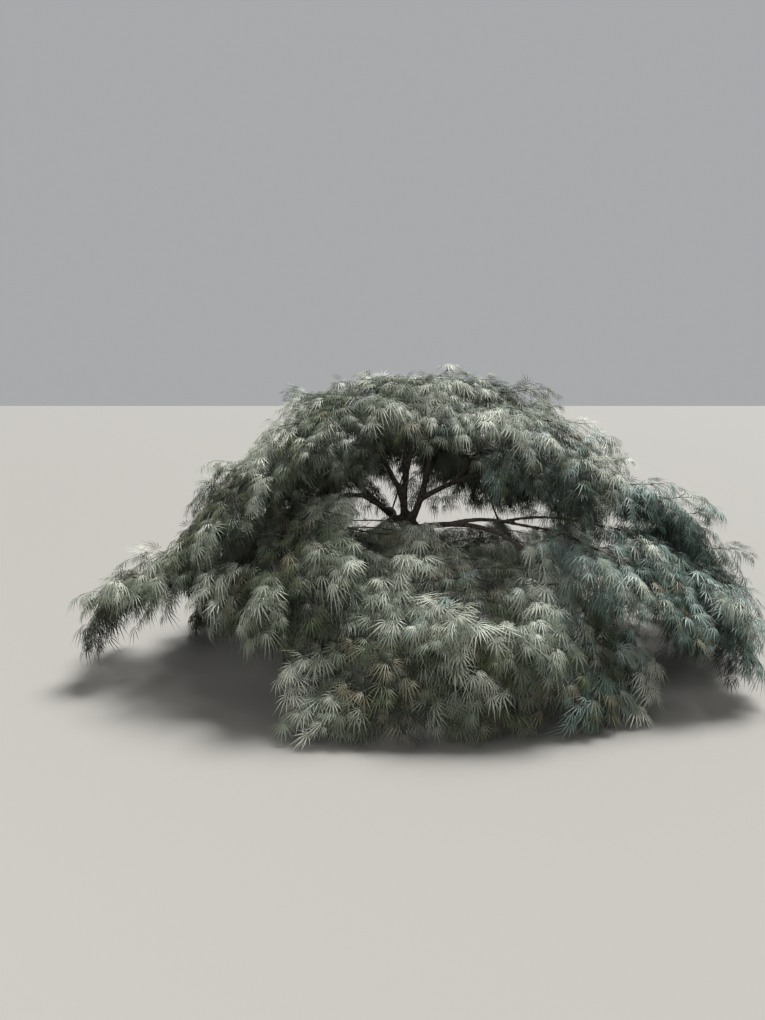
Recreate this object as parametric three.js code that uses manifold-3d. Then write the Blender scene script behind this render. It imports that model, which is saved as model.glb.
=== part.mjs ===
// A weeping laceleaf Japanese maple, standing on its own foot.
// A short, leaning trunk forks at hip height. Limbs arch out of the fork, and each ends in one layer of
// foliage. A tip and a ring of top layers make the dome, over short collars and a ring of shoulders,
// and a skirt hangs to the ground.
// Millimetres, +Z up. The origin is the middle of the trunk's foot. +X is the tree's right and -Y its front.
import * as THREE from "three";
import { mergeVertices } from "three/addons/utils/BufferGeometryUtils.js";
import Module from "manifold-3d";

const wasm = await Module();
wasm.setup();

const DEGREE = Math.PI / 180;
const UP = new THREE.Vector3(0, 0, 1);

// Clearances between pieces
const GAP = 0.35; // between a limb and what it grows from
const CLEAR = 4; // foliage to any limb, and to any other layer's foliage
const SPACE_OVERLAP = 160; // how far a leaf may reach over the border with its neighbours
const GROUND_CLEAR = 12; // lowest foliage over the ground

// Trunk
const TRUNK_PATH = [
  [-2, 0, -60],
  [0, 0, 20],
  [14, 0, 130],
  [72, 12, 300],
  [132, 14, 500],
  [66, 4, 690],
  [-40, 0, 810],
  [-84, 0, 880],
];
const TRUNK_FOOT_RADIUS = 74;
const TRUNK_FORK_RADIUS = 50;
const TRUNK_SIDES = 12;
const TRUNK_STEPS = 11;
const FLARE = 0.62; // extra radius at the ground, as a share
const FLARE_HEIGHT = 85; // height over which the flare dies out
const ROOTS = 5; // ridges round the flare
const ROOT_RELIEF = 0.3;
const TRUNK_TIP = 0.35; // the fork's end closes to this share of its radius

// Crown outline in plan, from the crown's own middle
const CROWN_MIDDLE = new THREE.Vector3(50, 0, 0);
const CROWN_REACH = { left: 1960, right: 1980, front: 1440, back: 1500 };
const LAYER_DOME = 780; // radius of the curve that every layer of foliage bends over

// The tiers of layers. reach is a share of the crown's outline, tilt is how far a layer leans down and
// outwards, and long, wide and thick are half sizes along the lean, across it and through it.
// lift is how steeply the layer's bough sets off, and girth is its first radius.
const TIERS = {
  tip: { reach: 0.02, height: 1710, tilt: 3, long: 320, wide: 420, thick: 50, lift: 74, girth: 15 },
  top: { reach: 0.36, height: 1560, tilt: 28, long: 420, wide: 480, thick: 100, lift: 56, girth: 27 },
  collar: { reach: 0.36, height: 1230, tilt: 16, long: 330, wide: 430, thick: 80, lift: 40, girth: 18 },
  shoulder: { reach: 0.66, height: 1080, tilt: 28, long: 420, wide: 440, thick: 100, lift: 30, girth: 24 },
  skirt: { reach: 0.88, height: 420, tilt: 62, long: 400, wide: 580, thick: 100, lift: 12, girth: 16 },
};

// Each layer belongs to the tier that its name starts with, and may differ from it.
// bearing runs anticlockwise from the tree's right, seen from above.
// Its bough leaves the limb in from, at that share of the limb's length.
const LAYERS = {
  top_front_left: { bearing: 219, from: ["trunk", 0.95], girth: 24, reach: 0.38, height: 1580 },
  top_front_right: { bearing: 320, from: ["trunk", 0.925], girth: 24, reach: 0.44, height: 1490, tilt: 22 },
  tip: { bearing: 30, from: ["top_front_left", 0.1] },
  top_back_right: { bearing: 40, from: ["top_front_right", 0.3], reach: 0.38, height: 1570 },
  top_back_left: { bearing: 137, from: ["top_front_left", 0.3], reach: 0.39, height: 1580 },
  collar_left: { bearing: 184, from: ["top_front_left", 0.2], height: 1270 },
  collar_back: { bearing: 92, from: ["top_back_right", 0.3], reach: 0.32, height: 1400 },
  shoulder_left_back: { bearing: 162, from: ["top_back_left", 0.25], reach: 0.64, height: 1110, tilt: 42 },
  shoulder_left_front: { bearing: 198, from: ["trunk", 0.9], reach: 0.66, height: 1030, tilt: 42 },
  shoulder_front_left: { bearing: 236, from: ["shoulder_left_front", 0.2], reach: 0.5, height: 810 },
  shoulder_front: { bearing: 282, from: ["trunk", 0.86], height: 690 },
  skirt_front_right: { bearing: 307, from: ["trunk", 0.89], girth: 21, reach: 0.82, height: 370, lift: 16 },
  shoulder_right: { bearing: 1, from: ["top_front_right", 0.2], reach: 0.69, height: 1040, tilt: 30 },
  collar_right: { bearing: 350, from: ["shoulder_right", 0.2], height: 1240 },
  shoulder_back_right: { bearing: 38, from: ["shoulder_right", 0.25], tilt: 34 },
  shoulder_back: { bearing: 66, from: ["top_back_right", 0.45], height: 1150, tilt: 24 },
  shoulder_back_left: { bearing: 129, from: ["shoulder_left_back", 0.25], tilt: 34 },
  skirt_left: {
    bearing: 185,
    from: ["shoulder_left_front", 0.35],
    reach: 0.78,
    height: 620,
    tilt: 13,
    wide: 470,
  },
  skirt_front_left: { bearing: 224, from: ["shoulder_front_left", 0.3], reach: 0.64, height: 880, tilt: 38 },
  skirt_front: { bearing: 259, from: ["shoulder_front", 0.35], reach: 0.86, height: 325 },
  shoulder_front_right: { bearing: 327, from: ["skirt_front_right", 0.3], reach: 0.7, height: 760, lift: 20 },
  skirt_right_front: { bearing: 344, from: ["shoulder_front_right", 0.5], reach: 0.8, height: 680, tilt: 36 },
  skirt_right_back: { bearing: 12, from: ["shoulder_right", 0.45], reach: 0.97, height: 530 },
  skirt_back_right: { bearing: 57, from: ["shoulder_back_right", 0.35], height: 340 },
  skirt_back: { bearing: 102, from: ["shoulder_back", 0.45], height: 330 },
  skirt_back_left: { bearing: 144, from: ["shoulder_left_back", 0.45], height: 470 },
};

// Boughs
const BOUGH_SIDES = 5;
const BOUGH_STEPS = 5;
const BOUGH_HANDLE = 0.4; // how far a bough keeps its first and last directions, as a share of its span
const BOUGH_SHARE = 0.85; // widest start of a bough, as a share of its parent there
const BOUGH_END = 9; // radius where a bough meets its layer's stem
const BOUGH_TAPER = 0.75; // power of the length along which a bough thins

// Twigs in a layer, in shares of the layer's half sizes
const STEM_END = 0.5;
const STEM_SIDES = 3;
const STEM_STEPS = 4;
const STEM_TIP_RADIUS = 6;
const TWIG_SIDES = 3;
const TWIG_STEPS = 2;
const TWIG_RADIUS = 4.5;
const TWIG_TAPER = 0.6; // how much of that radius is gone before the pointed end
const TWIG_REACH = 0.5;
const REACH_SPREAD = 0.3; // a twig's reach varies by this share
const LEVEL_SPREAD = 1.4; // and its end lies this far up or down, in half thicknesses
const TWIG_BEND = [1.15, 0.85, 2]; // powers of the length for its way outwards, sideways and through
const FAN_FIRST = 100; // degrees from the outward way that the first pair points
const FAN_LAST = 46;
const FAN_JITTER = 14;
const SHORTEST_TWIG = 0.35; // a twig cut shorter than this share is left out
const SPACE_STEPS = 8; // steps in which a twig is tested against its layer's space

// Leaves. Each stands for a spray of cut leaves.
const LEAF_LENGTH = 385;
const LEAF_THICKNESS = 0.03; // as a share of the length
const LEAF_SIZES = [1, 0.85, 0.72]; // tried in turn where the space is tight
const LEAF_TURNS = [1, 0.7, 1.3, 1.6, 0.3, -0.3]; // and shares of its splay
const LEAF_CLEAR = 1.5; // leaf to any other leaf or twig of its layer
const STEM_END_LEAF = 0.995; // where an end leaf sits, as a share of its stem or twig
const TWIG_END_LEAF = 0.97;
const TWIG_SIDE_LEAF = 0.5; // middle of the places of a pair of side leaves
const STEM_SIDE_LEAF = 0.6;
const PAIR_STAGGER = 0.15; // how far before and after that middle the two sit
const LEAF_SPLAY = 62; // degrees between a side leaf and its twig
const LEAF_OUTWARD = 0.35; // how far a leaf turns to the outward way
const LEAF_DROOP = 0.85; // how far a leaf turns down
const LEAF_CURL = 0.12; // how far its tips hang, as a share of its length
// Rim of the leaf from the middle lobe's tip round to the root, as shares of its length: along, across
const LEAF_RIM = [[1, 0], [0.63, 0.2], [0.7, 0.56], [0, 0]];
const LEAF_MIDDLE = 0.34; // where the blade is thickest

// Finishes
const BARK = { color: "#4a4038", roughness: 0.9, metalness: 0 };
const YOUNG_BARK = { color: "#57493c", roughness: 0.85, metalness: 0 };
const FOLIAGE = { color: "#5b6a56", roughness: 0.7, metalness: 0 };

// A repeatable stream of numbers from 0 to 1, by Park and Miller's rule.
function stream(seed) {
  let state = (seed * 48271 + 11) % 2147483647;
  const next = () => {
    state = (state * 16807) % 2147483647;
    return state / 2147483647;
  };
  next();
  return next;
}

const mix = THREE.MathUtils.lerp;

function solid(geometry) {
  const bare = new THREE.BufferGeometry()
    .setIndex(geometry.index)
    .setAttribute("position", geometry.getAttribute("position"));
  const merged = mergeVertices(bare, 1e-3);
  return new wasm.Manifold(
    new wasm.Mesh({
      numProp: 3,
      vertProperties: merged.attributes.position.array,
      triVerts: new Uint32Array(merged.index.array),
    }),
  );
}

function geometryOf(body) {
  const mesh = body.getMesh();
  return new THREE.BufferGeometry()
    .setAttribute("position", new THREE.BufferAttribute(mesh.vertProperties, 3))
    .setIndex(new THREE.BufferAttribute(mesh.triVerts, 1));
}

// The largest piece of a body: loose scraps are dropped, and a sealed hollow is filled.
function largest(body) {
  return body.decompose().reduce((a, b) => (a.volume() > b.volume() ? a : b));
}

// A cylinder bent along a curve. radiusAt takes the share of the length and the angle round it.
function tube(curve, sides, steps, radiusAt, pointed = false) {
  const geometry = new THREE.CylinderGeometry(pointed ? 0 : 1, 1, 1, sides, steps);
  const frames = curve.computeFrenetFrames(steps);
  const position = geometry.getAttribute("position");
  for (let i = 0; i < position.count; i++) {
    const x = position.getX(i);
    const z = position.getZ(i);
    const out = Math.hypot(x, z);
    const step = Math.round((position.getY(i) + 0.5) * steps);
    const scale = out > 1e-6 ? radiusAt(step / steps, Math.atan2(z, x)) / out : 0;
    const place = curve
      .getPointAt(step / steps)
      .addScaledVector(frames.normals[step], x * scale)
      .addScaledVector(frames.binormals[step], -z * scale);
    position.setXYZ(i, place.x, place.y, place.z);
  }
  return solid(geometry);
}

// A layer of foliage: a shallow dome with its own axes, out along the lean, across, and through.
class Layer {
  constructor(name, row, index) {
    Object.assign(this, TIERS[name.split("_")[0]], row);
    this.name = name;
    this.seed = index + 1;
    const turn = this.bearing * DEGREE;
    const lean = this.tilt * DEGREE;
    const side = Math.cos(turn) > 0 ? CROWN_REACH.right : CROWN_REACH.left;
    const depth = Math.sin(turn) > 0 ? CROWN_REACH.back : CROWN_REACH.front;
    const outline = 1 / Math.hypot(Math.cos(turn) / side, Math.sin(turn) / depth);
    const away = new THREE.Vector3(Math.cos(turn), Math.sin(turn), 0);
    this.centre = CROWN_MIDDLE.clone().addScaledVector(away, outline * this.reach).setZ(this.height);
    this.along = away.multiplyScalar(Math.cos(lean)).addScaledVector(UP, -Math.sin(lean));
    this.across = new THREE.Vector3(-Math.sin(turn), Math.cos(turn), 0);
    this.through = new THREE.Vector3().crossVectors(this.along, this.across);
  }

  at([u, v, w]) {
    const p = u * this.long;
    const q = v * this.wide;
    const sink = (p * p + q * q) / (2 * LAYER_DOME);
    return this.centre
      .clone()
      .addScaledVector(this.along, p)
      .addScaledVector(this.across, q)
      .addScaledVector(this.through, w * this.thick - sink);
  }
}

const layers = Object.entries(LAYERS).map(([name, row], index) => new Layer(name, row, index));

// Whether a point is above the ground and nearer this layer's middle than any other's, or over by no more.
function inOwnSpace(layer, point, over = 0) {
  if (point.z < GROUND_CLEAR) return false;
  return layers.every((other) => {
    if (other === layer) return true;
    const apart = layer.centre.distanceTo(other.centre);
    const margin = point.distanceToSquared(other.centre) - point.distanceToSquared(layer.centre);
    return margin / (2 * apart) > -over;
  });
}

// A twig's path over its layer: it sets off sideways and bends outwards. end cuts it short.
class TwigPath extends THREE.Curve {
  constructor(layer, from, to, end = 1) {
    super();
    Object.assign(this, { layer, from, to, end });
  }

  getPoint(t, target = new THREE.Vector3()) {
    const share = t * this.end;
    const place = TWIG_BEND.map((power, i) => mix(this.from[i], this.to[i], share ** power));
    return target.copy(this.layer.at(place));
  }
}

// A point on the straight pieces of a tube with so many steps, at a share of its length.
function onTube(path, steps, share) {
  const step = Math.min(steps - 1, Math.floor(share * steps));
  return path.getPointAt(step / steps).lerp(path.getPointAt((step + 1) / steps), share * steps - step);
}

const trunkPath = new THREE.CatmullRomCurve3(TRUNK_PATH.map((point) => new THREE.Vector3(...point)));

function trunkRadius(share, angle) {
  const height = Math.max(0, trunkPath.getPointAt(share).z);
  const ridges = 1 + ROOT_RELIEF * Math.cos(ROOTS * angle);
  const flare = 1 + FLARE * Math.exp(-height / FLARE_HEIGHT) * ridges;
  const closing = share === 1 ? TRUNK_TIP : 1;
  return mix(TRUNK_FOOT_RADIUS, TRUNK_FORK_RADIUS, share) * flare * closing;
}

// A limb: its path, its radius along that path, its body, and a slightly grown twin that cuts later limbs.
function makeLimb(name, path, radius, sides, steps) {
  const body = tube(path, sides, steps, radius);
  const grown = tube(path, sides, steps, (share, angle) => radius(share, angle) + GAP);
  return { name, path, radius, body, grown };
}

// A bough leaves its parent, arches, and reaches its layer in the layer's own direction.
function makeBough(layer) {
  const [from, fork] = layer.from;
  const parent = limbs.find((limb) => limb.name === from || limb.name === "bough_" + from);
  const start = parent.path.getPointAt(fork);
  const entry = layer.at([-1, 0, 0]);
  const arrival = entry.clone().sub(layer.at([-1.01, 0, 0])).normalize();
  const lift = layer.lift * DEGREE;
  const departure = entry.clone().sub(start).setZ(0).normalize();
  departure.multiplyScalar(Math.cos(lift)).addScaledVector(UP, Math.sin(lift));
  const handle = start.distanceTo(entry) * BOUGH_HANDLE;
  const path = new THREE.CubicBezierCurve3(
    start,
    start.clone().addScaledVector(departure, handle),
    entry.clone().addScaledVector(arrival, -handle),
    entry,
  );
  const girth = Math.min(layer.girth, BOUGH_SHARE * parent.radius(fork, 0));
  const radius = (share) => mix(girth, BOUGH_END, share ** BOUGH_TAPER);
  const bough = makeLimb("bough_" + layer.name, path, radius, BOUGH_SIDES, BOUGH_STEPS);
  bough.body = largest(wasm.Manifold.difference([bough.body, ...limbs.map((limb) => limb.grown)]));
  return bough;
}

// The trunk's path starts under the ground, where a level cut ends it.
const trunk = makeLimb("trunk", trunkPath, trunkRadius, TRUNK_SIDES, TRUNK_STEPS);
trunk.body = trunk.body.trimByPlane([0, 0, 1], 0);
const limbs = [trunk];
for (const layer of layers) limbs.push(makeBough(layer));

// A drooping leaf of three lobes: a flattened ball whose rim is drawn out along the lobes.
function makeLeaf(root, heading, up, length) {
  const sides = 2 * (LEAF_RIM.length - 1);
  const geometry = new THREE.SphereGeometry(1, sides, 2);
  const position = geometry.getAttribute("position");
  for (let i = 0; i < position.count; i++) {
    const rise = Math.round(position.getY(i));
    const turn = Math.round((Math.atan2(-position.getZ(i), position.getX(i)) * sides) / (2 * Math.PI));
    const [along, across] = rise ? [LEAF_MIDDLE, 0] : LEAF_RIM[Math.abs(turn)];
    const level = (rise * LEAF_THICKNESS) / 2 - LEAF_CURL * along ** 2;
    position.setXYZ(i, along * length, across * Math.sign(turn) * length, level * length);
  }
  const side = new THREE.Vector3().crossVectors(up, heading).normalize();
  const face = new THREE.Vector3().crossVectors(heading, side);
  geometry.applyMatrix4(new THREE.Matrix4().makeBasis(heading, side, face).setPosition(root));
  return geometry;
}

function corners(geometry) {
  const { count, array } = geometry.getAttribute("position");
  return Array.from({ length: count }, (_, i) => new THREE.Vector3().fromArray(array, 3 * i));
}

// A layer's stem goes on from the tip of its bough, a gap clear of it.
function makeStem(layer) {
  const path = new TwigPath(layer, [-1, 0, 0], [STEM_END, 0, 0]);
  const clear = path.getTangentAt(0).multiplyScalar(GAP);
  const radius = (share) => mix(BOUGH_END, STEM_TIP_RADIUS, share);
  const body = tube(path, STEM_SIDES, STEM_STEPS, radius).translate(clear.toArray());
  return { layer, path, steps: STEM_STEPS, body };
}

const stems = layers.map(makeStem);
const masses = [];

// Whether a piece of a layer is clear of every limb, of the other stems, and of what has grown so far.
function clearOfAll(layer, body) {
  const others = [...limbs, ...masses, ...stems.filter((stem) => stem.layer !== layer)];
  return others.every((other) => body.minGap(other.body, CLEAR) >= CLEAR);
}

// The stem, twigs and leaves of one layer, joined as one body.
function growLayer(stem) {
  const { layer } = stem;
  const draw = stream(layer.seed);
  const wood = [stem];
  const leaves = [];

  // One twig to each side at every knot of the stem, cut short where it leaves the layer's space.
  const addTwig = (knot, side) => {
    const order = (knot - 1) / (STEM_STEPS - 2);
    const fan = (mix(FAN_FIRST, FAN_LAST, order) + FAN_JITTER * (draw() - 0.5)) * DEGREE;
    const reach = TWIG_REACH * (1 + REACH_SPREAD * (draw() - 0.5));
    const level = LEVEL_SPREAD * (draw() - 0.5);
    const from = [mix(-1, STEM_END, knot / STEM_STEPS), 0, 0];
    const to = [from[0] + reach * Math.cos(fan), side * reach * Math.sin(fan), level];
    const whole = new TwigPath(layer, from, to);
    let inside = 0;
    while (inside < SPACE_STEPS && inOwnSpace(layer, whole.getPoint((inside + 1) / SPACE_STEPS))) inside++;
    if (inside / SPACE_STEPS < SHORTEST_TWIG) return;
    const path = new TwigPath(layer, from, to, inside / SPACE_STEPS);
    const body = tube(path, TWIG_SIDES, TWIG_STEPS, (share) => TWIG_RADIUS * (1 - TWIG_TAPER * share), true);
    if (clearOfAll(layer, body)) wood.push({ path, steps: TWIG_STEPS, body });
  };
  for (let knot = 1; knot < STEM_STEPS; knot++) {
    addTwig(knot, -1);
    addTwig(knot, 1);
  }

  // The largest leaf that fits, its root on the twig. Where none fits, the place stays bare.
  const addLeaf = (twig, share, splay) => {
    const root = onTube(twig.path, twig.steps, share);
    const others = [...wood.filter((other) => other !== twig), ...leaves];
    for (const size of LEAF_SIZES) {
      for (const turn of LEAF_TURNS) {
        const heading = twig.path.getTangentAt(share).applyAxisAngle(layer.through, splay * turn * DEGREE);
        heading.addScaledVector(layer.along, LEAF_OUTWARD).addScaledVector(UP, -LEAF_DROOP).normalize();
        const blade = makeLeaf(root, heading, layer.through, LEAF_LENGTH * size);
        if (!corners(blade).every((corner) => inOwnSpace(layer, corner, SPACE_OVERLAP))) continue;
        const body = solid(blade);
        if (others.some((other) => body.minGap(other.body, LEAF_CLEAR) < LEAF_CLEAR)) continue;
        if (!clearOfAll(layer, body)) continue;
        leaves.push({ body });
        return;
      }
    }
  };
  const addPair = (twig, middle) => {
    addLeaf(twig, middle - PAIR_STAGGER, -LEAF_SPLAY);
    addLeaf(twig, middle + PAIR_STAGGER, LEAF_SPLAY);
  };
  const twigs = wood.slice(1);
  addLeaf(stem, STEM_END_LEAF, 0);
  for (const twig of twigs) addLeaf(twig, TWIG_END_LEAF, 0);
  for (const twig of twigs) addPair(twig, TWIG_SIDE_LEAF);
  addPair(stem, STEM_SIDE_LEAF);

  const body = largest(wasm.Manifold.union([...wood, ...leaves].map((part) => part.body)));
  masses.push({ body });
  return body;
}

function named(name, body, finish) {
  const mesh = new THREE.Mesh(geometryOf(body), new THREE.MeshStandardMaterial(finish));
  mesh.name = name;
  return mesh;
}

const tree = new THREE.Group();
tree.name = "laceleaf_maple";
for (const limb of limbs) tree.add(named(limb.name, limb.body, limb === trunk ? BARK : YOUNG_BARK));
for (const stem of stems) tree.add(named("foliage_" + stem.layer.name, growLayer(stem), FOLIAGE));

export default tree;
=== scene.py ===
import math

import bpy
import numpy as np
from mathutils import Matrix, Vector, kdtree, noise


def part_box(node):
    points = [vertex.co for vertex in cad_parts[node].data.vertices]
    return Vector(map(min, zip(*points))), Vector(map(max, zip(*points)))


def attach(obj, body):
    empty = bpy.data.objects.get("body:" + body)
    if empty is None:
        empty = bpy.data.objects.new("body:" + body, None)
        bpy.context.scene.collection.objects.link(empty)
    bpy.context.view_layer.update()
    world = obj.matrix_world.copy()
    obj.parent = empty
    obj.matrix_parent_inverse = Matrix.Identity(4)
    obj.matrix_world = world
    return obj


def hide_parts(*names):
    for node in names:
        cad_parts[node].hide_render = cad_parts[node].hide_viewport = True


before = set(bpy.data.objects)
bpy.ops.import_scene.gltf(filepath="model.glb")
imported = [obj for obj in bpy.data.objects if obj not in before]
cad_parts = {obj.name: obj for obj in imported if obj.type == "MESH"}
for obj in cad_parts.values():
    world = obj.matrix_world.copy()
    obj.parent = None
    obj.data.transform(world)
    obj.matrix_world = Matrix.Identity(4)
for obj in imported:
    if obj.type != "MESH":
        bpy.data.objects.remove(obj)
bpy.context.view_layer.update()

# Trunk and boughs.
# Green maple wood under thin, dark bark. The trunk flares at the ground, leans, swings back and forks. Each
# limb thins towards the layer of foliage that it carries, and its bark splits lengthways. The trunk starts
# under the ground, where a level cut takes its end off.
TRUNK_POINTS = np.array(
    [
        (-0.002, 0, -0.06),
        (0, 0, 0.02),
        (0.014, 0, 0.13),
        (0.072, 0.012, 0.3),
        (0.132, 0.014, 0.5),
        (0.066, 0.004, 0.69),
        (-0.04, 0, 0.81),
        (-0.084, 0, 0.88),
    ]
)
TRUNK_FOOT_RADIUS = 0.074
TRUNK_FORK_RADIUS = 0.05
FLARE = 0.62  # extra radius at the ground, as a share
FLARE_HEIGHT = 0.085
ROOTS = 5  # ridges round the flare
ROOT_RELIEF = 0.3

CROWN_MIDDLE = np.array((0.05, 0, 0))
CROWN_REACH = {"left": 1.96, "right": 1.98, "front": 1.44, "back": 1.5}
LAYER_DOME = 0.78  # radius of the curve that every layer of foliage bends over

# reach is a share of the crown's outline, tilt is how far a layer leans down and outwards, and long, wide
# and thick are half sizes. lift is how steeply the layer's bough sets off, and girth is its first radius.
TIERS = {
    "tip": dict(
        reach=0.02, height=1.71, tilt=3, long=0.32, wide=0.42, thick=0.05, lift=74, girth=0.015
    ),
    "top": dict(
        reach=0.36, height=1.56, tilt=28, long=0.42, wide=0.48, thick=0.1, lift=56, girth=0.027
    ),
    "collar": dict(
        reach=0.36, height=1.23, tilt=16, long=0.33, wide=0.43, thick=0.08, lift=40, girth=0.018
    ),
    "shoulder": dict(
        reach=0.66, height=1.08, tilt=28, long=0.42, wide=0.44, thick=0.1, lift=30, girth=0.024
    ),
    "skirt": dict(
        reach=0.88, height=0.42, tilt=62, long=0.4, wide=0.58, thick=0.1, lift=12, girth=0.016
    ),
}

# A layer belongs to the tier that its name starts with. bearing runs anticlockwise from the tree's right.
# Its bough leaves the limb in source at that share of the limb's length, so its row comes after that one's.
LAYERS = {
    "top_front_left": dict(bearing=219, source=("trunk", 0.95), girth=0.024, reach=0.38, height=1.58),
    "top_front_right": dict(
        bearing=320, source=("trunk", 0.925), girth=0.024, reach=0.44, height=1.49, tilt=22
    ),
    "tip": dict(bearing=30, source=("top_front_left", 0.1)),
    "top_back_right": dict(bearing=40, source=("top_front_right", 0.3), reach=0.38, height=1.57),
    "top_back_left": dict(bearing=137, source=("top_front_left", 0.3), reach=0.39, height=1.58),
    "collar_left": dict(bearing=184, source=("top_front_left", 0.2), height=1.27),
    "collar_back": dict(bearing=92, source=("top_back_right", 0.3), reach=0.32, height=1.4),
    "shoulder_left_back": dict(
        bearing=162, source=("top_back_left", 0.25), reach=0.64, height=1.11, tilt=42
    ),
    "shoulder_left_front": dict(
        bearing=198, source=("trunk", 0.9), reach=0.66, height=1.03, tilt=42
    ),
    "shoulder_front_left": dict(
        bearing=236, source=("shoulder_left_front", 0.2), reach=0.5, height=0.81
    ),
    "shoulder_front": dict(bearing=282, source=("trunk", 0.86), height=0.69),
    "skirt_front_right": dict(
        bearing=307, source=("trunk", 0.89), girth=0.021, reach=0.82, height=0.37, lift=16
    ),
    "shoulder_right": dict(bearing=1, source=("top_front_right", 0.2), reach=0.69, height=1.04, tilt=30),
    "collar_right": dict(bearing=350, source=("shoulder_right", 0.2), height=1.24),
    "shoulder_back_right": dict(bearing=38, source=("shoulder_right", 0.25), tilt=34),
    "shoulder_back": dict(bearing=66, source=("top_back_right", 0.45), height=1.15, tilt=24),
    "shoulder_back_left": dict(bearing=129, source=("shoulder_left_back", 0.25), tilt=34),
    "skirt_left": dict(
        bearing=185, source=("shoulder_left_front", 0.35), reach=0.78, height=0.62, tilt=13, wide=0.47
    ),
    "skirt_front_left": dict(
        bearing=224, source=("shoulder_front_left", 0.3), reach=0.64, height=0.88, tilt=38
    ),
    "skirt_front": dict(bearing=259, source=("shoulder_front", 0.35), reach=0.86, height=0.325),
    "shoulder_front_right": dict(
        bearing=327, source=("skirt_front_right", 0.3), reach=0.7, height=0.76, lift=20
    ),
    "skirt_right_front": dict(
        bearing=344, source=("shoulder_front_right", 0.5), reach=0.8, height=0.68, tilt=36
    ),
    "skirt_right_back": dict(bearing=12, source=("shoulder_right", 0.45), reach=0.97, height=0.53),
    "skirt_back_right": dict(bearing=57, source=("shoulder_back_right", 0.35), height=0.34),
    "skirt_back": dict(bearing=102, source=("shoulder_back", 0.45), height=0.33),
    "skirt_back_left": dict(bearing=144, source=("shoulder_left_back", 0.45), height=0.47),
}
UP = np.array((0.0, 0.0, 1.0))


def unit(vectors):
    return vectors / np.linalg.norm(vectors, axis=-1, keepdims=True)


class Layer:
    """A layer of foliage: a shallow dome with its own axes, out along the lean, across, and through."""

    def __init__(self, name, row, index):
        self.tier = name.split("_")[0]
        self.__dict__.update(TIERS[self.tier])
        self.__dict__.update(row)
        self.name = name
        self.seed = index + 1
        turn, lean = math.radians(self.bearing), math.radians(self.tilt)
        side = CROWN_REACH["right" if math.cos(turn) > 0 else "left"]
        depth = CROWN_REACH["back" if math.sin(turn) > 0 else "front"]
        outline = 1 / math.hypot(math.cos(turn) / side, math.sin(turn) / depth)
        away = np.array((math.cos(turn), math.sin(turn), 0))
        self.centre = CROWN_MIDDLE + away * outline * self.reach + UP * self.height
        self.away = away
        self.along = away * math.cos(lean) - UP * math.sin(lean)
        self.across = np.array((-math.sin(turn), math.cos(turn), 0))
        self.through = np.cross(self.along, self.across)

    def at(self, u, v, w):
        p, q = np.asarray(u) * self.long, np.asarray(v) * self.wide
        rise = np.asarray(w) * self.thick - (p * p + q * q) / (2 * LAYER_DOME)
        offset = p[..., None] * self.along + q[..., None] * self.across + rise[..., None] * self.through
        return self.centre + offset

    def level(self, points):
        """How far the points lie above the dome in the layer's middle."""
        offset = points - self.centre
        spread_out = (offset @ self.along) ** 2 + (offset @ self.across) ** 2
        return offset @ self.through + spread_out / (2 * LAYER_DOME)


layers = [Layer(name, row, index) for index, (name, row) in enumerate(LAYERS.items())]


class Path:
    """A curve of t from 0 to 1, read by the share of its length."""

    def __init__(self, curve):
        self.curve = curve
        self.steps = np.linspace(0, 1, 201)
        spans = np.linalg.norm(np.diff(curve(self.steps), axis=0), axis=1)
        self.reached = np.concatenate(([0], np.cumsum(spans)))
        self.length = self.reached[-1]

    def at(self, shares):
        return self.curve(np.interp(np.asarray(shares) * self.length, self.reached, self.steps))


def centripetal(points):
    """A smooth curve through all the points that keeps off loops and overshoots."""
    ends = (2 * points[:1] - points[1:2], points, 2 * points[-1:] - points[-2:-1])
    knots = np.concatenate(ends)

    def curve(t):
        place = np.asarray(t) * (len(points) - 1)
        first = np.minimum(place.astype(int), len(points) - 2)
        share = (place - first)[..., None]
        a, b, c, d = (knots[first + i] for i in range(4))
        before, here, after = (
            np.sqrt(np.linalg.norm(end - start, axis=-1, keepdims=True))
            for start, end in ((a, b), (b, c), (c, d))
        )
        leave = ((b - a) / before - (c - a) / (before + here) + (c - b) / here) * here
        arrive = ((c - b) / here - (d - b) / (here + after) + (d - c) / after) * here
        square, cube = share**2, share**3
        return (
            b * (2 * cube - 3 * square + 1)
            + leave * (cube - 2 * square + share)
            + c * (3 * square - 2 * cube)
            + arrive * (cube - square)
        )

    return curve


def bezier(a, b, c, d):
    def curve(t):
        t = np.asarray(t)[..., None]
        s = 1 - t
        return s**3 * a + 3 * s * s * t * b + 3 * s * t * t * c + t**3 * d

    return curve


BOUGH_HANDLE = 0.4  # how far a bough keeps its first and last directions, as a share of its span
BOUGH_SHARE = 0.85  # widest start of a bough, as a share of its parent there
BOUGH_END = 0.009  # radius where a bough meets its layer's stem
BOUGH_TAPER = 0.75  # power of the length along which a bough thins


def trunk_radius(share, height, angle=0):
    ridges = 1 + ROOT_RELIEF * np.cos(ROOTS * angle)
    flare = 1 + FLARE * np.exp(-np.maximum(height, 0) / FLARE_HEIGHT) * ridges
    return (TRUNK_FOOT_RADIUS + (TRUNK_FORK_RADIUS - TRUNK_FOOT_RADIUS) * share) * flare


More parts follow.
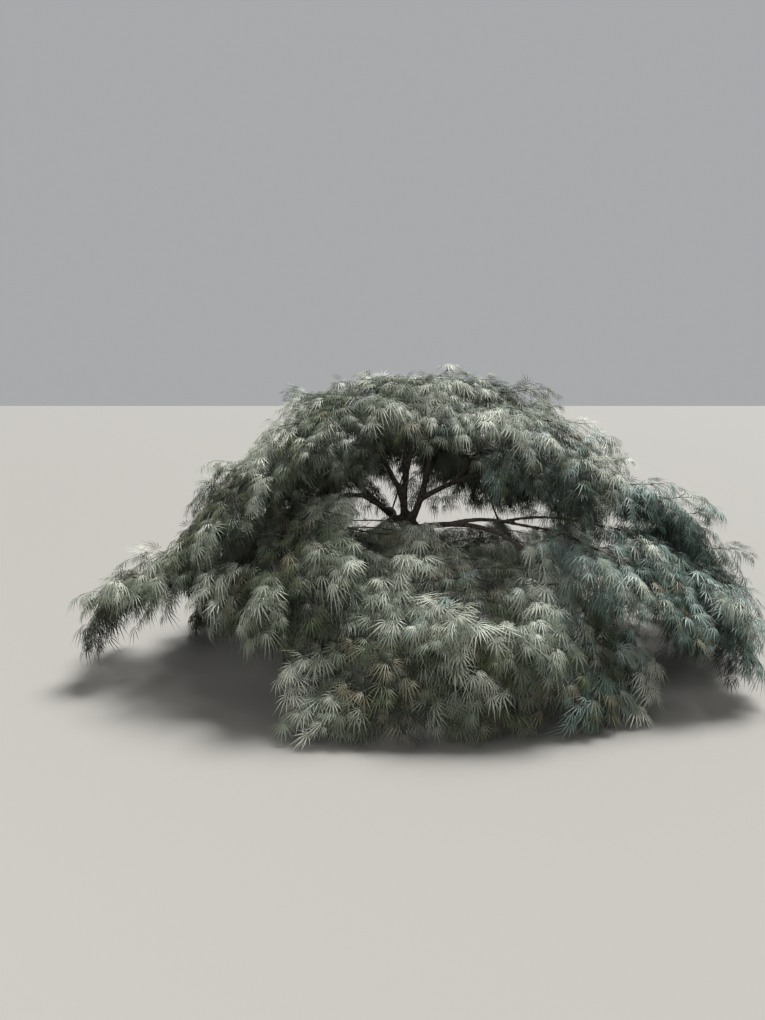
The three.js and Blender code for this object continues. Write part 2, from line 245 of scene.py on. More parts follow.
trunk_path = Path(centripetal(TRUNK_POINTS))
limbs = {"trunk": (trunk_path, lambda share: trunk_radius(share, trunk_path.at(share)[..., 2]))}
for layer in layers:
    parent, fork = layer.source
    parent_path, parent_radius = limbs[parent]
    start = parent_path.at(fork)
    # The bough arrives along its layer's own curve, at the layer's inner end.
    entry = layer.at(-1, 0, 0)
    arrival = unit(entry - layer.at(-1.01, 0, 0))
    flat = unit((entry - start) * (1, 1, 0))
    lift = math.radians(layer.lift)
    departure = flat * math.cos(lift) + UP * math.sin(lift)
    handle = np.linalg.norm(entry - start) * BOUGH_HANDLE
    path = Path(bezier(start, start + departure * handle, entry - arrival * handle, entry))
    girth = min(layer.girth, BOUGH_SHARE * float(parent_radius(fork)))
    limbs[layer.name] = (
        path,
        lambda share, girth=girth: girth + (BOUGH_END - girth) * np.asarray(share) ** BOUGH_TAPER,
    )


def tube_arrays(points, radii, sides):
    """Corners and triangles of closed round tubes, one for each row of points."""
    count, steps, _ = points.shape
    tangents = unit(np.gradient(points, axis=1))
    # The rings start from the vertical, or from another direction where a tube stands nearly upright.
    chords = unit(points[:, -1] - points[:, 0])
    aside = np.where(np.abs(chords[:, 2:]) < 0.8, UP, np.array((1.0, 0, 0)))[:, None]
    normals = unit(np.cross(tangents, aside))
    binormals = np.cross(tangents, normals)
    angles = np.linspace(0, 2 * math.pi, sides, endpoint=False)
    if radii.ndim == 2:
        radii = np.repeat(radii[..., None], sides, axis=2)
    ring = (
        normals[:, :, None] * (radii * np.cos(angles))[..., None]
        + binormals[:, :, None] * (radii * np.sin(angles))[..., None]
    )
    rings = (points[:, :, None] + ring).reshape(count, steps * sides, 3)
    corners = np.concatenate((rings, points[:, :1], points[:, -1:]), axis=1)
    low = np.arange(sides)
    high = (low + 1) % sides
    walls = [
        np.stack((a + step * sides, b + step * sides, c + step * sides), axis=1)
        for step in range(steps - 1)
        for a, b, c in ((low, high, high + sides), (low, high + sides, low + sides))
    ]
    foot = np.full(sides, steps * sides)
    last = (steps - 1) * sides
    caps = [np.stack((high, low, foot), axis=1), np.stack((low + last, high + last, foot + 1), axis=1)]
    faces = np.concatenate(walls + caps)
    shifted = faces[None] + (np.arange(count) * corners.shape[1])[:, None, None]
    return corners.reshape(-1, 3), shifted.reshape(-1, 3)


def mesh_piece(name, corners, faces, finishes, slots=None):
    """One mesh object from arrays of corners and triangles, which take their finishes by slots."""
    mesh = bpy.data.meshes.new(name)
    mesh.vertices.add(len(corners))
    mesh.vertices.foreach_set("co", np.ascontiguousarray(corners, np.float32).ravel())
    mesh.loops.add(faces.size)
    mesh.loops.foreach_set("vertex_index", np.ascontiguousarray(faces, np.int32).ravel())
    mesh.polygons.add(len(faces))
    mesh.polygons.foreach_set("loop_start", np.arange(0, faces.size, 3, dtype=np.int32))
    for finish in finishes:
        mesh.materials.append(finish)
    if slots is not None:
        mesh.polygons.foreach_set("material_index", slots.astype(np.int32))
    mesh.update(calc_edges=True)
    mesh.validate()
    piece = bpy.data.objects.new(name, mesh)
    bpy.context.scene.collection.objects.link(piece)
    return piece


COLLAR = 0.25  # swelling where a limb leaves its parent, as a share of its radius
COLLAR_LENGTH = 0.05
TRUNK_RINGS = 60
LIMB_RINGS = 28
LIMB_SIDES = 16

bpy.ops.object.select_all(action="DESELECT")
tubes = []
for name, (path, radius) in limbs.items():
    shares = np.linspace(0, 1, TRUNK_RINGS if name == "trunk" else LIMB_RINGS)
    points = path.at(shares)
    if name == "trunk":
        angles = np.linspace(0, 2 * math.pi, 2 * LIMB_SIDES, endpoint=False)
        widths = trunk_radius(shares[:, None], points[:, 2:], angles[None])
    else:
        swelling = 1 + COLLAR * np.exp(-shares * path.length / COLLAR_LENGTH)
        widths = (radius(shares) * swelling)[:, None] + np.zeros(LIMB_SIDES)
    corners, faces = tube_arrays(points[None], widths[None], widths.shape[1])
    tubes.append(mesh_piece("limb_" + name, corners, faces, []))
for tube in tubes:
    tube.select_set(True)
wood = tubes[0]
wood.name = "trunk_and_boughs"
bpy.context.view_layer.objects.active = wood
bpy.ops.object.join()

# The tubes become one skin, whose crotches are rounded off.
SKIN_VOXEL = 0.0075
SMOOTHING = (0.5, 5)  # strength, and how many times
remesh = wood.modifiers.new("one_skin", "REMESH")
remesh.mode = "VOXEL"
remesh.voxel_size = SKIN_VOXEL
smooth = wood.modifiers.new("soft_crotches", "SMOOTH")
smooth.factor, smooth.iterations = SMOOTHING
for modifier in (remesh, smooth):
    bpy.ops.object.modifier_apply(modifier=modifier.name)

# A level cut ends the trunk at the ground.
bpy.ops.object.mode_set(mode="EDIT")
bpy.ops.mesh.select_all(action="SELECT")
bpy.ops.mesh.bisect(plane_co=(0, 0, 0), plane_no=(0, 0, 1), use_fill=True, clear_inner=True)
bpy.ops.object.mode_set(mode="OBJECT")

# The bark's relief: lumps on the old wood, and splits that run along each limb.
LUMP_SIZE = 0.07
LUMP_RELIEF = 0.11  # as a share of the limb's radius
SPLIT_WIDTH = 0.011  # between one split and the next round the limb
SPLIT_LENGTH = 0.06
SPLIT_RELIEF = 0.06
SPLIT_NOISE = (0.9, 2.1, 3, 1.0, 1.6)  # roughness, lacunarity, octaves, offset and gain
SPLIT_LEVEL = 1.2  # the noise's value where the skin stays in its place
SAMPLE_STEP = 0.01  # between the places along the limbs that the relief is measured from
PLAIN_FOOT = 0.03  # height over which the relief fades out towards the level cut
samples = []
for path, radius in limbs.values():
    shares = np.linspace(0, 1, int(path.length / SAMPLE_STEP) + 2)
    points = path.at(shares)
    tangents = unit(np.gradient(points, axis=0))
    widths = np.broadcast_to(radius(shares), shares.shape)
    samples += [
        (Vector(point), Vector(tangent), share * path.length, float(width))
        for point, tangent, share, width in zip(points, tangents, shares, widths)
    ]
nearest = kdtree.KDTree(len(samples))
for index, sample in enumerate(samples):
    nearest.insert(sample[0], index)
nearest.balance()
for vertex in wood.data.vertices:
    centre, tangent, run, width = samples[nearest.find(vertex.co)[1]]
    out = vertex.co - centre
    out -= tangent * out.dot(tangent)
    if out.length < 1e-6:
        continue
    out.normalize()
    run += (vertex.co - centre).dot(tangent)
    grain = out * (width / SPLIT_WIDTH) + tangent * (run / SPLIT_LENGTH)
    split = noise.ridged_multi_fractal(grain, *SPLIT_NOISE) - SPLIT_LEVEL
    lump = noise.noise(vertex.co / LUMP_SIZE)
    fade = min(1, vertex.co.z / PLAIN_FOOT)
    vertex.co += out * width * (LUMP_RELIEF * lump - SPLIT_RELIEF * split) * fade
wood.data.update()
wood.data.polygons.foreach_set("use_smooth", np.ones(len(wood.data.polygons), bool))


def linear(hex_colour):
    """An sRGB hex colour as the linear colour that a shader takes."""
    channels = [int(hex_colour[i : i + 2], 16) / 255 for i in (1, 3, 5)]
    return [c / 12.92 if c <= 0.04045 else ((c + 0.055) / 1.055) ** 2.4 for c in channels] + [1]


def new_material(name, **sockets):
    """A material whose shader has these values on its own sockets."""
    material = bpy.data.materials.new(name)
    material.use_nodes = True
    shader = material.node_tree.nodes["Principled BSDF"]
    for socket, value in sockets.items():
        shader.inputs[socket.replace("_", " ")].default_value = value
    return material, shader


def add_node(material, kind, links=(), **settings):
    """A node with its settings, inputs among them, and links from other nodes' outputs."""
    node = material.node_tree.nodes.new(kind)
    for key, value in settings.items():
        if key in node.inputs.keys():
            node.inputs[key].default_value = value
        elif key.replace("_", " ") in node.inputs.keys():
            node.inputs[key.replace("_", " ")].default_value = value
        else:
            setattr(node, key, value)
    for output, socket in links:
        material.node_tree.links.new(output, node.inputs[socket])
    return node


# Old maple bark: dark and dull, with grey grains, nearly black cracks between them, and pale algae on it.
BARK_TONES = ((0.36, "#1d1917"), (0.66, "#5d554e"))  # cracks and grains, by the value of the grain's noise
BARK_ALGAE = "#686b5e"
ALGAE_RANGE = (0.55, 0.75)  # values of the patches' noise where algae start and are at their fullest
ALGAE_MOST = 0.5  # how far they hide the bark there
BARK_GRAIN_SCALE = 70  # the largest grains are about 14 mm across
BARK_PATCH_SCALE = 9  # and the patches of algae about 110 mm
bark, bark_shader = new_material("weathered_maple_bark", Roughness=0.9, Specular_IOR_Level=0.25)
place = add_node(bark, "ShaderNodeTexCoord").outputs["Object"]
grain = add_node(
    bark, "ShaderNodeTexNoise", [(place, "Vector")], Scale=BARK_GRAIN_SCALE, Detail=8, Roughness=0.65
)
patches = add_node(
    bark, "ShaderNodeTexNoise", [(place, "Vector")], Scale=BARK_PATCH_SCALE, Detail=4, Roughness=0.6
)
tone = add_node(bark, "ShaderNodeValToRGB", [(grain.outputs["Fac"], "Fac")])
for stop, (position, shade) in zip(tone.color_ramp.elements, BARK_TONES):
    stop.position = position
    stop.color = linear(shade)
bloom = add_node(
    bark,
    "ShaderNodeMapRange",
    [(patches.outputs["Fac"], "Value")],
    From_Min=ALGAE_RANGE[0],
    From_Max=ALGAE_RANGE[1],
    To_Max=ALGAE_MOST,
)
colour = add_node(
    bark,
    "ShaderNodeMix",
    [(bloom.outputs["Result"], 0), (tone.outputs["Color"], 6)],
    data_type="RGBA",
)
colour.inputs[7].default_value = linear(BARK_ALGAE)
relief = add_node(
    bark, "ShaderNodeBump", [(grain.outputs["Fac"], "Height")], Strength=0.5, Distance=0.004
)
bark.node_tree.links.new(colour.outputs[2], bark_shader.inputs["Base Color"])
bark.node_tree.links.new(relief.outputs["Normal"], bark_shader.inputs["Normal"])
wood.data.materials.clear()
wood.data.materials.append(bark)

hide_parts("trunk", *("bough_" + layer.name for layer in layers))
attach(wood, "root")

# Twigs.
# Thin young wood with smooth bark. A stem goes on from each bough over its layer, with a pair of twigs at
# every knot. The twigs lie in two storeys, and each has pairs of twiglets with a short spur between them,
# because a maple branches in opposite pairs.

# Places along a stem and reaches across it are shares of the layer's half sizes.
STEM_ENDS = (-1.02, 0.95)
STEM_POINTS = 14
STEM_KNOTS = 10
KNOT_ENDS = (-0.92, 0.89)
KNOT_JITTER = 0.1  # each jitter is the whole range that its value varies over
STEM_RADIUS = (0.008, 0.002)
STEM_SINK = 0.055  # how far the stem dips under the middle of its layer
STEM_DIP = 0.5  # the length over which it does so
TWIG_POINTS = 25  # that its way is checked at
TWIG_RINGS = 6  # that it is drawn with
CERTAIN_POINTS = 4  # at the start of a stem or twig, which are never cut off
TWIG_BEND = (1.15, 0.85, 2)  # powers of the length for its way outwards, sideways and through
TWIG_RADIUS = (0.0042, 0.0016)
STOREYS = ((0.7, 0.8), (-0.6, 1.04))  # height through the layer, and share of the reach
LEVEL_JITTER = 0.5
REACH_JITTER = 0.3
FAN = (86, 40)  # degrees from the outward way that the first and the last pair point
FAN_JITTER = 44
TWIG_OVERLAP = 0.14  # how far a twig may reach over the border with its neighbours
TWIG_WAVE = 0.05
TWIG_WAVES = 1.3  # along one twig
SHOOT_SPACING = 0.077
STEM_SHOOT_SPACING = 0.05
LEAFY_BOUGH = 0.22  # the end of a bough that bears shoots too
TWIGLET_LENGTH = 0.15
TWIGLET_SPLAY = 52  # degrees from its twig
TWIGLET_OUTWARD = 0.4
TWIGLET_DROOP = 0.16  # at its start
TWIGLET_SAG = 0.3  # and over its length
SAG_SPREAD = 0.5  # each spread is how far its value varies, as a share
SHOOT_SPREAD = 0.3  # in length and splay
TWIGLET_PAIRS = 4  # of leaves
TWIGLET_RADIUS = (0.0016, 0.0008)
SPUR_LENGTH = 0.045
SPUR_RISE = 0.8
SPUR_PAIRS = {"tip": 3, "top": 3, "collar": 2, "shoulder": 2, "skirt": 2}
GROUND_CLEAR = 0.012
FORK_CLEAR = 0.43  # no leaf's tip comes nearer to the fork, so that the crown is open there
UNDERSIDE = 0.155  # how far a leaf's tip may hang under the middle of its layer
BARE_SHOOT = 0.45  # a shoot that keeps no more than this share of its leaves is left out

# How far a leaf's tip may pass the box of its layer's solid: at the sides away from the trunk, at those
# towards it, below and above
OUTER_MARGIN = 0.01
INNER_MARGINS = {"tip": 0.25, "top": 0.25, "collar": 0.15, "shoulder": 0.06, "skirt": 0.2}
LOWER_MARGIN = 0.01
UPPER_MARGINS = {"tip": 0.05, "top": 0.05, "collar": 0.04, "shoulder": 0.035, "skirt": 0.08}
TWIG_INSET = 0.05  # how far inside the outer sides a twig ends

# Length from the foot of the stalk to the tip of the middle lobe: the leaves in full sun are smaller.
LEAF_LENGTHS = {"tip": 0.08, "top": 0.083, "collar": 0.087, "shoulder": 0.093, "skirt": 0.1}
LEAF_DROOPS = {"tip": 0.12, "top": 0.2, "collar": 0.25, "shoulder": 0.35, "skirt": 0.45}
LEAF_SPREAD = 0.32
DROOP_SPREAD = 0.8
LEAF_SPLAY = 46  # degrees from its shoot
LEAF_SPLAY_SPREAD = 0.45
LEAF_OUTWARD = 0.5
LEAF_SCATTER = 0.25
LEAF_TWIST = 0.28
LEAF_OVERLAP = 0.2  # how far a leaf may reach over the border with its neighbours
PAINTED_SHADE_BY_LEVEL = 0.62  # how far a spray's tone follows its level through its layer, and not chance: painted shade low in the layer and painted light high in it


def own_space(layer, points, over):
    """Which points lie above the ground, and within their layer's borders or no further out than over."""
    inside = points[..., 2] > GROUND_CLEAR
    own = ((points - layer.centre) ** 2).sum(-1)
    for other in layers:
        if other is not layer:
            apart = np.linalg.norm(layer.centre - other.centre)
            inside &= (((points - other.centre) ** 2).sum(-1) - own) / (2 * apart) > -over
    return inside


def turned(vectors, axis, degrees):
    """Vectors turned about a unit axis, each by its own angle."""
    c, s = np.cos(np.radians(degrees))[..., None], np.sin(np.radians(degrees))[..., None]
    return vectors * c + np.cross(axis, vectors) * s + axis * (vectors @ axis)[..., None] * (1 - c)


def spread(draw, value, share, *shape):
    """Random values round one value, off by up to that share of it."""
    return value * (1 + share * (2 * draw.random(shape) - 1))


def in_reach(layer, points, outer):
    """Which points lie in the box of the layer's solid, widened outwards by outer, else by its margins."""
    low, high = (np.array(corner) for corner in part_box("foliage_" + layer.name))
    inner = INNER_MARGINS[layer.tier] * np.array((1, 1, 0)) + LOWER_MARGIN * UP
    outer = outer * np.array((1, 1, 0)) + UPPER_MARGINS[layer.tier] * UP
    right_way = layer.centre > CROWN_MIDDLE
    low = low - np.where(right_way, inner, outer)
    high = high + np.where(right_way, outer, inner)
    return ((points > low) & (points < high)).all(-1)


def up_to_first_out(layer, points, least):
    """The row of points up to the first that leaves the layer's space, or none if too few are left."""
    inside = own_space(layer, points, TWIG_OVERLAP) & in_reach(layer, points, -TWIG_INSET)
    inside |= np.arange(len(points)) < CERTAIN_POINTS
    last = len(points) if inside.all() else int(np.argmin(inside))
    return points[:last] if last >= least else None


def stem_level(layer, u):
    return -STEM_SINK / layer.thick * np.minimum(1, (np.asarray(u) - STEM_ENDS[0]) / STEM_DIP)


def grow_twigs(layer, draw):
    """The twigs of one layer, each a row of points."""
    twigs = []
    for knot in range(STEM_KNOTS):
        order = knot / (STEM_KNOTS - 1)
        u = KNOT_ENDS[0] + (KNOT_ENDS[1] - KNOT_ENDS[0]) * order + KNOT_JITTER * (draw.random() - 0.5)
        # Twigs are longest a third of the way along the stem, and shortest at its end.
        profile = 0.72 + 0.45 * math.sin(math.pi * min(1, order + 0.12)) - 0.25 * order
        height, share = STOREYS[knot % 2]
        for side in (-1, 1):
            fan = math.radians(FAN[0] + (FAN[1] - FAN[0]) * order + FAN_JITTER * (draw.random() - 0.5))
            reach = share * profile * (1 + REACH_JITTER * (draw.random() - 0.5))
            level = height + LEVEL_JITTER * (draw.random() - 0.5)
            t = np.linspace(0, 1, TWIG_POINTS)
            start = stem_level(layer, u)
            wave = TWIG_WAVE * t * np.sin(2 * math.pi * (TWIG_WAVES * t + draw.random()))
            points = layer.at(
                u + reach * math.cos(fan) * t ** TWIG_BEND[0] + wave,
                side * reach * math.sin(fan) * t ** TWIG_BEND[1],
                start + (level - start) * t ** TWIG_BEND[2],
            )
            points = up_to_first_out(layer, points, TWIG_RINGS)
            if points is not None:
                twigs.append(points)
    return twigs


def shoot_starts(limb, spacing):
    """Places along a twig or stem where shoots leave it, and its direction there."""
    runs = np.concatenate(([0], np.cumsum(np.linalg.norm(np.diff(limb, axis=0), axis=1))))
    count = max(1, round(runs[-1] / spacing))
    places = runs[-1] * (np.arange(count) + 1) / count
    directions = np.gradient(limb, axis=0)
    read = [
        np.stack([np.interp(places, runs, values[:, i]) for i in range(3)], axis=-1)
        for values in (limb, directions)
    ]
    return read[0], unit(read[1])


def ranks(values):
    """The place of each value in their order, as a share."""
    return (values.argsort().argsort() + 0.5) / len(values)


def leafy_shoots(layer, starts, ways, lengths, pairs, draw):
    """The shoots at these starts as rows of points, their leaves, and which of the starts have one.

    A shoot that would be nearly bare is left out.
    """
    sag = spread(draw, TWIGLET_SAG, SAG_SPREAD, len(starts))[:, None, None]
    lengths = lengths[:, None, None]

    def along(shares):
        shares = shares[:, None]
        points = starts[:, None] + lengths * (ways[:, None] * shares - UP * sag * shares**2)
        points[..., 2] = np.maximum(points[..., 2], GROUND_CLEAR)
        return points

    shares = np.append(np.repeat((np.arange(pairs) + 1) / pairs, 2), 1.0)
    hands = np.append(np.tile((-1, 1), pairs), 0)
    shape = (len(starts), len(shares))
    tangents = unit(ways[:, None] - 2 * UP * sag * shares[:, None])
    # A spray's tone is ranked partly at random and mostly by its level through the layer, so that low
    # sprays take dark tints as painted shade and high ones pale tints as painted light.
    levels = ranks(layer.level(starts))
    shade = ranks((1 - PAINTED_SHADE_BY_LEVEL) * draw.random(len(starts)) + PAINTED_SHADE_BY_LEVEL * levels)
    splays = hands * spread(draw, LEAF_SPLAY, LEAF_SPLAY_SPREAD, *shape)
    headings = turned(tangents, layer.through, splays)
    droops = spread(draw, LEAF_DROOPS[layer.tier], DROOP_SPREAD, *shape)[..., None]
    headings = headings + layer.away * LEAF_OUTWARD - UP * droops
    headings = headings + LEAF_SCATTER * draw.normal(size=(*shape, 3))
    leaves = {
        "root": along(shares),
        "heading": unit(headings),
        "facing": unit(layer.through + UP + LEAF_TWIST * draw.normal(size=(*shape, 3))),
        "size": spread(draw, LEAF_LENGTHS[layer.tier], LEAF_SPREAD, *shape),
        "shade": np.repeat(shade[:, None], len(shares), axis=1),
    }
    tips = leaves["root"] + leaves["heading"] * leaves["size"][..., None]
    keep = own_space(layer, tips, LEAF_OVERLAP) & in_reach(layer, tips, OUTER_MARGIN)
    keep &= layer.level(tips) > -UNDERSIDE
    keep &= np.linalg.norm(tips - TRUNK_POINTS[-1], axis=-1) > FORK_CLEAR
    leafy = keep.mean(1) > BARE_SHOOT
    keep &= leafy[:, None]
    shoots = along(np.linspace(0, 1, pairs))[leafy]
    return shoots, {key: value[keep] for key, value in leaves.items()}, leafy


# Young maple bark: smooth and dull, a dark olive brown.
young_bark, _ = new_material("smooth_young_maple_bark", Roughness=0.75, Base_Color=linear("#302a24"))

twig_corners, twig_faces, leaves_of, count = [], [], {}, 0
for layer in layers:
    draw = np.random.default_rng(layer.seed)
    stem_u = np.linspace(*STEM_ENDS, STEM_POINTS)
    stem = layer.at(stem_u, 0 * stem_u, stem_level(layer, stem_u))
    stem = up_to_first_out(layer, stem, CERTAIN_POINTS)
    twigs = grow_twigs(layer, draw)

    # Shoots stand along the end of the bough, the stem and the twigs.
    bough = limbs[layer.name][0]
    bough_end = bough.at(np.linspace(1 - LEAFY_BOUGH / bough.length, 0.98, 4))
    bearers = [shoot_starts(np.concatenate((bough_end, stem[1:])), STEM_SHOOT_SPACING)]
    bearers += [shoot_starts(twig, SHOOT_SPACING) for twig in twigs]
    starts, directions = (np.concatenate(values) for values in zip(*bearers))
    hands = np.repeat((-1, 1), len(starts))
    splays = hands * spread(draw, TWIGLET_SPLAY, SHOOT_SPREAD, len(hands))
    sideways = turned(np.tile(directions, (2, 1)), layer.through, splays)
    sideways = unit(sideways + layer.along * TWIGLET_OUTWARD - UP * TWIGLET_DROOP)
    upright = unit(directions + layer.through * SPUR_RISE)
    twiglet_lengths = spread(draw, TWIGLET_LENGTH, SHOOT_SPREAD, len(hands))
    grown = [leafy_shoots(layer, np.tile(starts, (2, 1)), sideways, twiglet_lengths, TWIGLET_PAIRS, draw)]
    spur_lengths = spread(draw, SPUR_LENGTH, SHOOT_SPREAD, len(starts))
    grown += [leafy_shoots(layer, starts, upright, spur_lengths, SPUR_PAIRS[layer.tier], draw)]
    leaves_of[layer.name] = {
        key: np.concatenate([leaves[key] for _, leaves, _ in grown]) for key in grown[0][1]
    }

    # Each batch has rows of points, the radii at both ends and the number of sides. A twig ends at its last
    # leafy shoot.
    batches = [(stem[None], STEM_RADIUS, 6)]
    leafy = grown[0][2].reshape(2, -1).any(0) | grown[1][2]
    ends = np.cumsum([len(row) for row, _ in bearers])
    for twig, own in zip(twigs, np.split(leafy, ends[:-1])[1:]):
        if own.any():
            last = (np.flatnonzero(own)[-1] + 1) / len(own) * (len(twig) - 1)
            twig = twig[np.linspace(0, last, TWIG_RINGS).round().astype(int)]
            batches.append((twig[None], TWIG_RADIUS, 4))
    batches += [(points, TWIGLET_RADIUS, 3) for points, _, _ in grown]
    for points, radii, sides in batches:
        widths = np.repeat(np.linspace(*radii, points.shape[1])[None], len(points), axis=0)
        corners, faces = tube_arrays(points, widths, sides)
        twig_corners.append(corners)
        twig_faces.append(faces + count)
        count += len(corners)
twigs_piece = mesh_piece("twigs", np.concatenate(twig_corners), np.concatenate(twig_faces), [young_bark])
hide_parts(*("foliage_" + layer.name for layer in layers))
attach(twigs_piece, "root")

# Leaves.
# Each is cut to the base into seven narrow, drooping lobes, and the middle lobe is toothed. They sit in
# opposite pairs on the twiglets and spurs, and each is one of four forms of the same thin leaf.
STALK = 0.2
STALK_WIDTH = 0.008  # half width
LOBES = ((0, 0.8, 1), (26, 0.78, 0), (53, 0.68, 0), (84, 0.48, 0))  # degrees, length and pairs of teeth
LOBE_WIDTH = 0.029  # half width as a share of the lobe's length
LOBE_WIDEST = 0.4
LOBE_SWEEP = 0.14  # how far the lobes bend forwards
TEETH = ((0.34, 0.5, 0.72),)  # where each tooth starts and ends, and its tip
TOOTH_OUT = 0.045
# How far the tips bend down, how far the lobes spread, and how much longer they are on one side
FORMS = ((0.4, 1.05, 0.12), (0.7, 0.9, -0.2), (1.1, 0.78, 0.15), (0.8, 0.85, -0.12))


def leaf_shape(curl, opening, skew):
    """Corners and triangles of a leaf one unit long."""
    corners, faces = [(0, -STALK_WIDTH, 0), (0, STALK_WIDTH, 0), (STALK, 0, 0)], [(0, 2, 1)]
    for degrees, length, teeth in LOBES:
        for hand in (-1, 1) if degrees else (1,):
            turn = math.radians(degrees * hand * opening)
            along = np.array((math.cos(turn), math.sin(turn), 0))
            aside = np.array((-math.sin(turn), math.cos(turn), 0))
            reach = length * (1 + skew * hand)

            def corner(share, out):
                run = share * reach
                way = along + (np.array((1, 0, 0)) - along) * LOBE_SWEEP * share
                corners.append(tuple(corners[2] + way * run + aside * out * length - UP * curl * run**2))
                return len(corners) - 1

            def edge(share):
                if share < LOBE_WIDEST:
                    return LOBE_WIDTH * share / LOBE_WIDEST
                return LOBE_WIDTH * (1 - share) / (1 - LOBE_WIDEST)

            left, right = corner(LOBE_WIDEST, LOBE_WIDTH), corner(LOBE_WIDEST, -LOBE_WIDTH)
            tip = corner(1, 0)
            faces += [(2, right, left), (right, tip, left)]
            for start, end, point in TEETH[:teeth]:
                for side in (-1, 1):
                    base = corner(start, side * edge(start)), corner(end, side * edge(end))
                    out = corner(point, side * (edge(point) + TOOTH_OUT))
                    faces.append((base[1], base[0], out)[::side])
    return np.array(corners), np.array(faces)


leaf_shapes = [leaf_shape(*form) for form in FORMS]

# Leaves: a dull, slightly waxy skin that greys where light falls on it. Each spray of leaves has one of
# these
# plain colours, from dark to pale: low sprays mostly take the dark ones as painted shade, high ones the
# pale as painted light.
LEAF_TINTS = {
    "deep_shade_leaf": "#1b2216",
    "blue_green_leaf": "#485b52",
    "olive_leaf": "#454d36",
    "bronze_leaf": "#625e4c",
    "grey_green_leaf": "#596051",
    "blue_grey_leaf": "#75857e",
    "sage_leaf": "#737a6b",
    "pale_sage_leaf": "#9ca092",
}
leaf_finishes = [
    new_material(name, Base_Color=linear(tint), Roughness=0.5, Specular_IOR_Level=0.3)[0]
    for name, tint in LEAF_TINTS.items()
]
# Shares of each tint, in the order above, at the dome and towards each side. The dome's lean to the pale
# tints and the left side's lean to the darkest are partly the leaves' own colour, partly painted light on
# the dome and painted shade on the left.
TINT_SHARES = {
    "dome": np.array((0.17, 0.0, 0.15, 0.0, 0.28, 0.0, 0.23, 0.17)),
    "left": np.array((0.28, 0.0, 0.29, 0.03, 0.19, 0.0, 0.13, 0.08)),
    "front": np.array((0.18, 0.0, 0.16, 0.1, 0.22, 0.0, 0.2, 0.14)),
    "right": np.array((0.14, 0.34, 0.0, 0.0, 0.04, 0.4, 0.03, 0.05)),
    "back": np.array((0.2, 0.06, 0.18, 0.0, 0.24, 0.05, 0.17, 0.1)),
}
SIDES_ON_DOME = 0.3  # how far the sides' shares show on the dome too


def tint_shares(layer):
    """Shares of the tints in a layer, mixed from those of the sides that it lies towards."""
    x, y, _ = layer.away
    sides = x**2 * TINT_SHARES["right" if x > 0 else "left"]
    sides = sides + y**2 * TINT_SHARES["back" if y > 0 else "front"]
    if layer.tier in ("tip", "top"):
        return (1 - SIDES_ON_DOME) * TINT_SHARES["dome"] + SIDES_ON_DOME * sides
    return sides


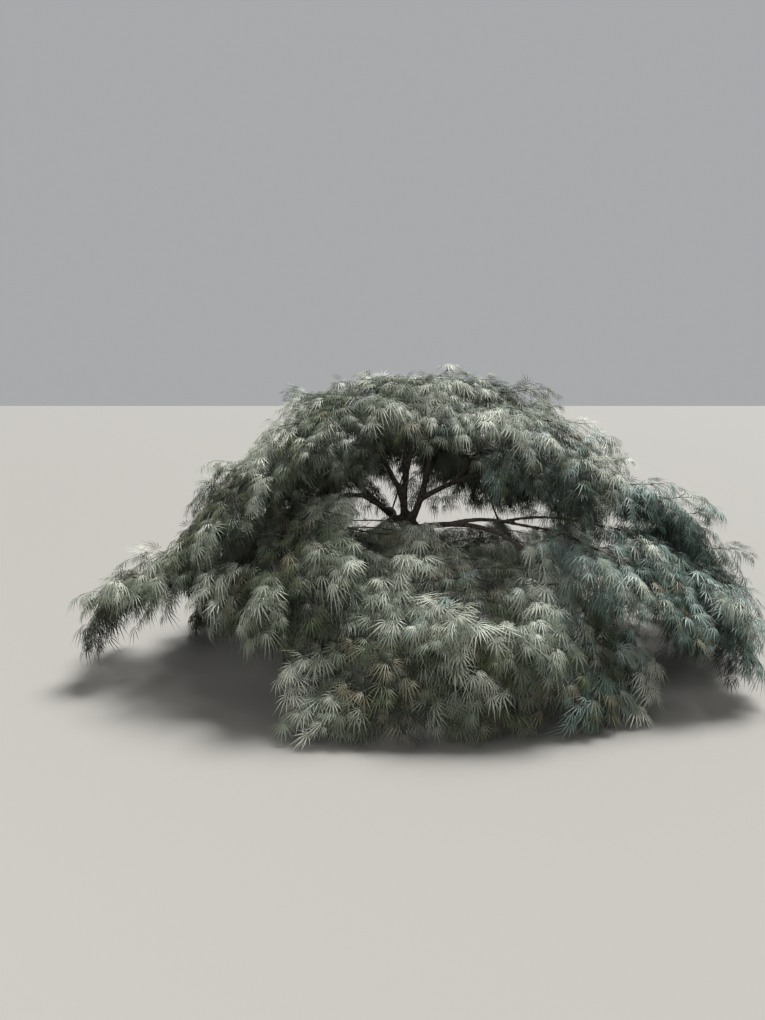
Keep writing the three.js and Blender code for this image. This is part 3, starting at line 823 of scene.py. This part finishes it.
PIECES = {
    "top": ("tip", "top_front_left", "top_front_right", "top_back_right", "top_back_left"),
    "collar": ("collar_left", "collar_back", "collar_right", "shoulder_right"),
    "shoulder_left": ("shoulder_left_front", "shoulder_left_back", "skirt_left"),
    "shoulder_front": ("shoulder_front_left", "shoulder_front", "shoulder_front_right"),
    "shoulder_back": ("shoulder_back_right", "shoulder_back", "shoulder_back_left"),
    "skirt_front": ("skirt_front_left", "skirt_front", "skirt_front_right"),
    "skirt_right": ("skirt_right_front", "skirt_right_back"),
    "skirt_back": ("skirt_back_right", "skirt_back", "skirt_back_left"),
}
for piece_name, members in PIECES.items():
    all_corners, all_faces, all_slots, count = [], [], [], 0
    for layer in layers:
        if layer.name not in members:
            continue
        draw = np.random.default_rng(layer.seed + 100)
        leaves = leaves_of[layer.name]
        # The shade rank picks each spray's tint from dark to pale: painted shade and painted light by
        # level, mixed with chance.
        tints = np.searchsorted(np.cumsum(tint_shares(layer))[:-1], leaves["shade"])
        sides = unit(np.cross(leaves["facing"], leaves["heading"]))
        axes = np.stack((leaves["heading"], sides, np.cross(leaves["heading"], sides)), axis=1)
        shape_of = draw.integers(0, len(leaf_shapes), len(sides))
        for index, (corners, faces) in enumerate(leaf_shapes):
            chosen = shape_of == index
            sizes = leaves["size"][chosen][:, None, None]
            placed = leaves["root"][chosen][:, None] + sizes * (corners @ axes[chosen])
            placed[..., 2] = np.maximum(placed[..., 2], GROUND_CLEAR)
            starts = count + np.arange(chosen.sum()) * len(corners)
            all_corners.append(placed.reshape(-1, 3))
            all_faces.append((faces[None] + starts[:, None, None]).reshape(-1, 3))
            all_slots.append(np.repeat(tints[chosen], len(faces)))
            count += len(corners) * chosen.sum()
    piece = mesh_piece(
        "leaves_" + piece_name,
        np.concatenate(all_corners),
        np.concatenate(all_faces),
        leaf_finishes,
        np.concatenate(all_slots),
    )
    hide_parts(*("foliage_" + name for name in members))
    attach(piece, "root")

# Floor, light and camera.
# A plain pale floor and soft light from above, seen from a standing eye's height in front of the tree.
FLOOR = 400.0
FLOOR_TONE = "#787671"
SKY_TONE = "#e9ebee"
SKY_STRENGTH = 0.48
bpy.ops.mesh.primitive_plane_add(size=FLOOR)
floor = bpy.context.active_object
floor.name = "floor"
floor_finish, _ = new_material("pale_matte_floor", Base_Color=linear(FLOOR_TONE), Roughness=0.9)
floor.data.materials.append(floor_finish)

world = bpy.data.worlds.new("studio")
bpy.context.scene.world = world
world.use_nodes = True
world.node_tree.nodes["Background"].inputs["Color"].default_value = linear(SKY_TONE)
world.node_tree.nodes["Background"].inputs["Strength"].default_value = SKY_STRENGTH

bpy.ops.object.light_add(type="SUN", location=(1.5, 1.5, 5))
overhead = bpy.context.active_object
overhead.name = "overhead"
overhead.data.energy = 8.2
overhead.data.angle = math.radians(25)
overhead.rotation_euler = (math.radians(-14), math.radians(16), 0)

bpy.ops.object.light_add(type="AREA", location=(-3.5, -5.5, 3.5))
front_fill = bpy.context.active_object
front_fill.name = "front_fill"
front_fill.data.size = 3
front_fill.data.energy = 120
front_fill.rotation_euler = (Vector((0, 0, 0.8)) - front_fill.location).to_track_quat("-Z", "Y").to_euler()

CAMERA_PLACE = (-0.198, -4.5, 1.55)
CAMERA_PITCH = 8.17  # degrees down
FOCAL_PIXELS = 766
PHOTO_HEIGHT = 1020
bpy.ops.object.camera_add(location=CAMERA_PLACE, rotation=(math.radians(90 - CAMERA_PITCH), 0, 0))
camera = bpy.context.active_object
camera.data.sensor_width = 36
camera.data.lens = camera.data.sensor_width * FOCAL_PIXELS / PHOTO_HEIGHT
bpy.context.scene.camera = camera
bpy.context.scene.view_settings.view_transform = "Standard"
